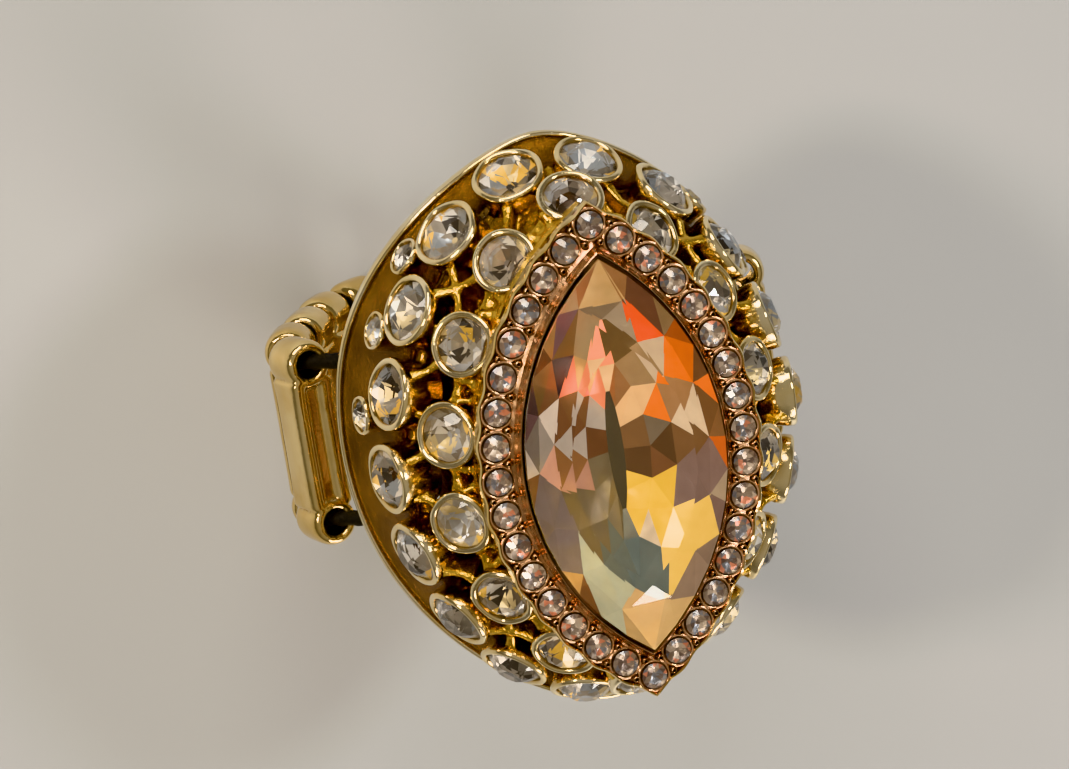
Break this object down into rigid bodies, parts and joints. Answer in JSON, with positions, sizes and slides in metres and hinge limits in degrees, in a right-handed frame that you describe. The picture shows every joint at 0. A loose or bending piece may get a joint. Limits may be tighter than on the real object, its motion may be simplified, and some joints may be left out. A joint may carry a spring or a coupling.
{
  "type": "cocktail ring",
  "caption": "Pointed oval dome ring with a raised marquise stone, rows of round stones and an elastic link band that stretches to fit.",
  "frame": {"origin": "centre of the finger hole at rest, on the finger's axis", "axes": "+Z out through the head towards the centre stone, +Y along the finger, +X across the hand to the right seen from above with +Y up"},
  "size_m": [0.0254, 0.0278, 0.03],
  "materials": {
    "gold": "polished gold plate",
    "rose_gold": "polished rose gold plate",
    "centre_glass": "faceted, foil backed",
    "clear_stone": "faceted, foil backed",
    "elastic": "matte"
  },
  "bodies": {
    "head": {"head_frame": "gold", "halo_setting": "rose_gold", "center_stone": "centre_glass", "halo_stones": "clear_stone", "shoulder_stones": "clear_stone", "cord_upper": "elastic", "cord_lower": "elastic", "middle_stone_01": "clear_stone", "middle_stone_02": "clear_stone", "middle_stone_03": "clear_stone", "middle_stone_04": "clear_stone", "middle_stone_05": "clear_stone", "middle_stone_06": "clear_stone", "middle_stone_07": "clear_stone", "middle_stone_08": "clear_stone", "middle_stone_09": "clear_stone", "middle_stone_10": "clear_stone", "middle_stone_11": "clear_stone", "middle_stone_12": "clear_stone", "middle_stone_13": "clear_stone", "middle_stone_14": "clear_stone", "outer_stone_01": "clear_stone", "outer_stone_02": "clear_stone", "outer_stone_03": "clear_stone", "outer_stone_04": "clear_stone", "outer_stone_05": "clear_stone", "outer_stone_06": "clear_stone", "outer_stone_07": "clear_stone", "outer_stone_08": "clear_stone", "outer_stone_09": "clear_stone", "outer_stone_10": "clear_stone", "outer_stone_11": "clear_stone", "outer_stone_12": "clear_stone", "outer_stone_13": "clear_stone", "outer_stone_14": "clear_stone", "outer_stone_15": "clear_stone", "outer_stone_16": "clear_stone", "outer_stone_17": "clear_stone", "outer_stone_18": "clear_stone"},
    "band_link_01": {"band_link_01": "gold"},
    "band_link_02": {"band_link_02": "gold"},
    "band_link_03": {"band_link_03": "gold"},
    "band_link_04": {"band_link_04": "gold"},
    "band_link_05": {"band_link_05": "gold"},
    "band_link_06": {"band_link_06": "gold"},
    "band_link_07": {"band_link_07": "gold"},
    "band_link_08": {"band_link_08": "gold"},
    "band_link_09": {"band_link_09": "gold"},
    "band_link_10": {"band_link_10": "gold"},
    "band_link_11": {"band_link_11": "gold"},
    "band_link_12": {"band_link_12": "gold"},
    "band_link_13": {"band_link_13": "gold"}
  },
  "joints": [
    {"name": "band_stretch", "type": "slide", "parent": "head", "child": "band_link_07", "axis": [0, 0, -1], "range_m": [0, 0.003], "stiffness_N_per_m": 200, "deforming": ["cord_upper", "cord_lower"]},
    {"name": "link_01_slide", "type": "slide", "parent": "head", "child": "band_link_01", "axis": [0.8946, 0, -0.447], "range_m": [0, 0.00081]},
    {"name": "link_02_slide", "type": "slide", "parent": "head", "child": "band_link_02", "axis": [0.8307, 0, -0.5568], "range_m": [0, 0.00179]},
    {"name": "link_03_slide", "type": "slide", "parent": "head", "child": "band_link_03", "axis": [0.6802, 0, -0.7331], "range_m": [0, 0.00214]},
    {"name": "link_04_slide", "type": "slide", "parent": "head", "child": "band_link_04", "axis": [0.4284, 0, -0.9036], "range_m": [0, 0.00237]},
    {"name": "link_05_slide", "type": "slide", "parent": "head", "child": "band_link_05", "axis": [0.1587, 0, -0.9873], "range_m": [0, 0.00264]},
    {"name": "link_06_slide", "type": "slide", "parent": "head", "child": "band_link_06", "axis": [0.0218, 0, -0.9998], "range_m": [0, 0.00291]},
    {"name": "link_08_slide", "type": "slide", "parent": "head", "child": "band_link_08", "axis": [-0.0218, 0, -0.9998], "range_m": [0, 0.00291]},
    {"name": "link_09_slide", "type": "slide", "parent": "head", "child": "band_link_09", "axis": [-0.1587, 0, -0.9873], "range_m": [0, 0.00264]},
    {"name": "link_10_slide", "type": "slide", "parent": "head", "child": "band_link_10", "axis": [-0.4284, 0, -0.9036], "range_m": [0, 0.00237]},
    {"name": "link_11_slide", "type": "slide", "parent": "head", "child": "band_link_11", "axis": [-0.6802, 0, -0.7331], "range_m": [0, 0.00214]},
    {"name": "link_12_slide", "type": "slide", "parent": "head", "child": "band_link_12", "axis": [-0.8307, 0, -0.5568], "range_m": [0, 0.00179]},
    {"name": "link_13_slide", "type": "slide", "parent": "head", "child": "band_link_13", "axis": [-0.8946, 0, -0.447], "range_m": [0, 0.00081]}
  ],
  "couplings": [
    {"joint": "link_01_slide", "follows": "band_stretch", "ratio": 0.2665},
    {"joint": "link_02_slide", "follows": "band_stretch", "ratio": 0.5918},
    {"joint": "link_03_slide", "follows": "band_stretch", "ratio": 0.7112},
    {"joint": "link_04_slide", "follows": "band_stretch", "ratio": 0.7882},
    {"joint": "link_05_slide", "follows": "band_stretch", "ratio": 0.8775},
    {"joint": "link_06_slide", "follows": "band_stretch", "ratio": 0.9659},
    {"joint": "link_08_slide", "follows": "band_stretch", "ratio": 0.9659},
    {"joint": "link_09_slide", "follows": "band_stretch", "ratio": 0.8775},
    {"joint": "link_10_slide", "follows": "band_stretch", "ratio": 0.7882},
    {"joint": "link_11_slide", "follows": "band_stretch", "ratio": 0.7112},
    {"joint": "link_12_slide", "follows": "band_stretch", "ratio": 0.5918},
    {"joint": "link_13_slide", "follows": "band_stretch", "ratio": 0.2665}
  ]
}
